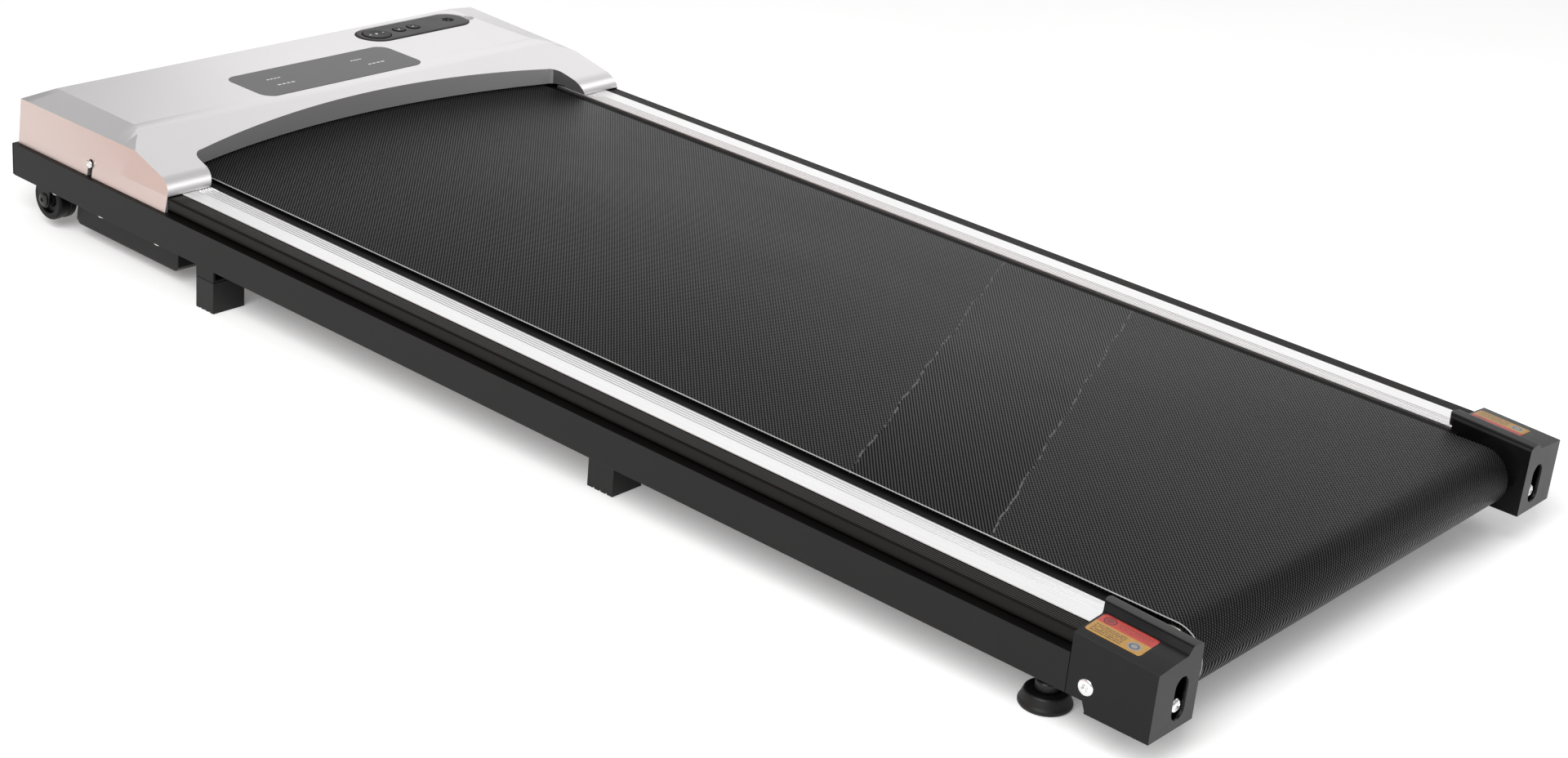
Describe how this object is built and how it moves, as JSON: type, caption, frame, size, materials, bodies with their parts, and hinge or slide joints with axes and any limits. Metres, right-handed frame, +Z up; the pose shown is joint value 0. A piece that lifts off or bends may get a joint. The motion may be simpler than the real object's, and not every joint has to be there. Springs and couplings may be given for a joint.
{
  "type": "under-desk treadmill",
  "caption": "Flat under-desk treadmill: steel side frames, ribbed side rails, walking belt over a deck, front motor hood with display and lift-out remote.",
  "frame": {"origin": "on the floor below the middle of the machine's length and width", "axes": "+Y from the rear roller towards the motor hood, +Z up, +X to the right of someone walking on it"},
  "size_m": [0.529, 1.17, 0.1086],
  "materials": {
    "black_steel": "fine textured black powder coat",
    "black_rail": "satin black anodised extrusion",
    "silver_strip": "satin anodised, fine lengthwise ribs",
    "cap_plastic": "satin black moulding with a fine grain",
    "belt_rubber": "black PVC belt with a fine woven grip texture",
    "deck_laminate": "black laminated board",
    "black_rubber": "matte black moulded rubber",
    "bright_steel": "zinc plated or ground steel",
    "dark_metal": "dark grey painted metal",
    "heat_sink": "extruded aluminium on a circuit board",
    "circuit_board": "green solder mask",
    "hood_silver": "satin metallic silver paint",
    "display_window": "smoked grey acrylic",
    "remote_shell": "satin dark grey plastic",
    "key_plastic": "smooth black plastic",
    "wheel_plastic": "black nylon",
    "rocker_red": "red moulded rocker",
    "zinc_screw": "zinc plated screw heads",
    "printed_label": "printed vinyl label",
    "white_print": "white screen print"
  },
  "bodies": {
    "frame": {"side_frame_left": "black_steel", "side_frame_right": "black_steel", "front_crossmember": "black_steel", "crossbar_rear": "black_steel", "crossbar_middle": "black_steel", "crossbar_front": "black_steel", "belly_pan": "black_steel", "rear_bracket_left": "black_steel", "rear_bracket_right": "black_steel", "front_bracket_left": "black_steel", "front_bracket_right": "black_steel", "side_rail_left": "black_rail", "side_rail_right": "black_rail", "tread_strip_left": "silver_strip", "tread_strip_right": "silver_strip", "end_cap_left": "cap_plastic", "end_cap_right": "cap_plastic", "deck_board": "deck_laminate", "deck_cushion_rear": "black_rubber", "deck_cushion_middle": "black_rubber", "deck_cushion_front": "black_rubber", "front_axle": "bright_steel", "walking_belt": "belt_rubber", "drive_belt": "belt_rubber", "motor_body": "dark_metal", "motor_mount": "bright_steel", "control_board": "heat_sink", "hood": "hood_silver", "display_lens": "display_window", "display_board": "circuit_board", "power_inlet": "cap_plastic", "front_block_left": "black_rubber", "front_block_right": "black_rubber", "middle_block_left": "black_rubber", "middle_block_right": "black_rubber", "wheel_bolt_left": "black_steel", "wheel_bolt_right": "black_steel"},
    "front_roller": {"front_roller": "bright_steel", "front_bearing_left": "bright_steel", "front_bearing_right": "bright_steel", "driven_pulley": "dark_metal"},
    "rear_axle": {"rear_axle": "bright_steel"},
    "rear_roller": {"rear_roller": "bright_steel", "rear_bearing_left": "bright_steel", "rear_bearing_right": "bright_steel"},
    "motor_rotor": {"motor_rotor": "bright_steel"},
    "tension_bolt_left": {"tension_bolt_left": "bright_steel"},
    "tension_bolt_right": {"tension_bolt_right": "bright_steel"},
    "foot_pad_left": {"foot_pad_left": "black_rubber"},
    "foot_stud_left": {"foot_stud_left": "bright_steel"},
    "foot_pad_right": {"foot_pad_right": "black_rubber"},
    "foot_stud_right": {"foot_stud_right": "bright_steel"},
    "transport_wheel_left": {"transport_wheel_left": "wheel_plastic"},
    "transport_wheel_right": {"transport_wheel_right": "wheel_plastic"},
    "remote": {"remote_body": "remote_shell"},
    "remote_dial": {"remote_dial": "key_plastic"},
    "remote_plus": {"remote_plus": "key_plastic"},
    "remote_minus": {"remote_minus": "key_plastic"},
    "power_rocker": {"power_rocker": "rocker_red"},
    "reset_button": {"reset_button": "cap_plastic"}
  },
  "joints": [
    {"name": "front_roller_spin", "type": "hinge", "parent": "frame", "child": "front_roller", "pos_m": [0, 0.475, 0.0548], "axis": [1, 0, 0], "continuous": true},
    {"name": "tension_slide", "type": "slide", "parent": "frame", "child": "rear_axle", "axis": [0, 1, 0], "range_m": [0, 0.005]},
    {"name": "rear_roller_spin", "type": "hinge", "parent": "rear_axle", "child": "rear_roller", "pos_m": [0, -0.556, 0.0548], "axis": [1, 0, 0], "continuous": true},
    {"name": "motor_spin", "type": "hinge", "parent": "frame", "child": "motor_rotor", "pos_m": [0, 0.535, 0.069], "axis": [1, 0, 0], "continuous": true},
    {"name": "tension_bolt_turn_left", "type": "hinge", "parent": "frame", "child": "tension_bolt_left", "pos_m": [-0.2325, -0.5765, 0.0548], "axis": [0, 1, 0], "range_deg": [-1810, 0]},
    {"name": "tension_bolt_turn_right", "type": "hinge", "parent": "frame", "child": "tension_bolt_right", "pos_m": [0.2325, -0.5765, 0.0548], "axis": [0, 1, 0], "range_deg": [-1810, 0]},
    {"name": "foot_level_left", "type": "slide", "parent": "frame", "child": "foot_pad_left", "axis": [0, 0, 1], "range_m": [-0.006, 0.008]},
    {"name": "foot_stud_turn_left", "type": "hinge", "parent": "foot_pad_left", "child": "foot_stud_left", "pos_m": [-0.2295, -0.4887, 0.0115], "axis": [0, 0, 1], "range_deg": [-1450, 1930]},
    {"name": "foot_level_right", "type": "slide", "parent": "frame", "child": "foot_pad_right", "axis": [0, 0, 1], "range_m": [-0.006, 0.008]},
    {"name": "foot_stud_turn_right", "type": "hinge", "parent": "foot_pad_right", "child": "foot_stud_right", "pos_m": [0.2295, -0.4887, 0.0115], "axis": [0, 0, 1], "range_deg": [-1450, 1930]},
    {"name": "transport_wheel_spin_left", "type": "hinge", "parent": "frame", "child": "transport_wheel_left", "pos_m": [0, 0.54, 0.0268], "axis": [1, 0, 0], "continuous": true},
    {"name": "transport_wheel_spin_right", "type": "hinge", "parent": "frame", "child": "transport_wheel_right", "pos_m": [0, 0.54, 0.0268], "axis": [1, 0, 0], "continuous": true},
    {"name": "remote_lift", "type": "slide", "parent": "frame", "child": "remote", "axis": [0, 0, 1], "range_m": [0, 0.05]},
    {"name": "remote_dial_press", "type": "slide", "parent": "remote", "child": "remote_dial", "axis": [0, 0, -1], "range_m": [0, 0.001], "stiffness_N_per_m": 600, "springref_m": -0.0003},
    {"name": "remote_plus_press", "type": "slide", "parent": "remote", "child": "remote_plus", "axis": [0, 0, -1], "range_m": [0, 0.001], "stiffness_N_per_m": 600, "springref_m": -0.0003},
    {"name": "remote_minus_press", "type": "slide", "parent": "remote", "child": "remote_minus", "axis": [0, 0, -1], "range_m": [0, 0.001], "stiffness_N_per_m": 600, "springref_m": -0.0003},
    {"name": "power_rocker_tip", "type": "hinge", "parent": "frame", "child": "power_rocker", "pos_m": [0.1325, 0.5785, 0.0815], "axis": [1, 0, 0], "range_deg": [0, 16]},
    {"name": "reset_button_press", "type": "slide", "parent": "frame", "child": "reset_button", "axis": [0, -1, 0], "range_m": [0, 0.002], "stiffness_N_per_m": 500, "springref_m": -0.0003}
  ],
  "couplings": [
    {"joint": "rear_roller_spin", "follows": "front_roller_spin", "ratio": 1},
    {"joint": "motor_spin", "follows": "front_roller_spin", "ratio": 2.7094},
    {"joint": "tension_bolt_turn_left", "follows": "tension_slide", "rad_per_m": -6283.2},
    {"joint": "tension_bolt_turn_right", "follows": "tension_slide", "rad_per_m": -6283.2},
    {"joint": "foot_stud_turn_left", "follows": "foot_level_left", "rad_per_m": 4188.8},
    {"joint": "foot_stud_turn_right", "follows": "foot_level_right", "rad_per_m": 4188.8}
  ]
}
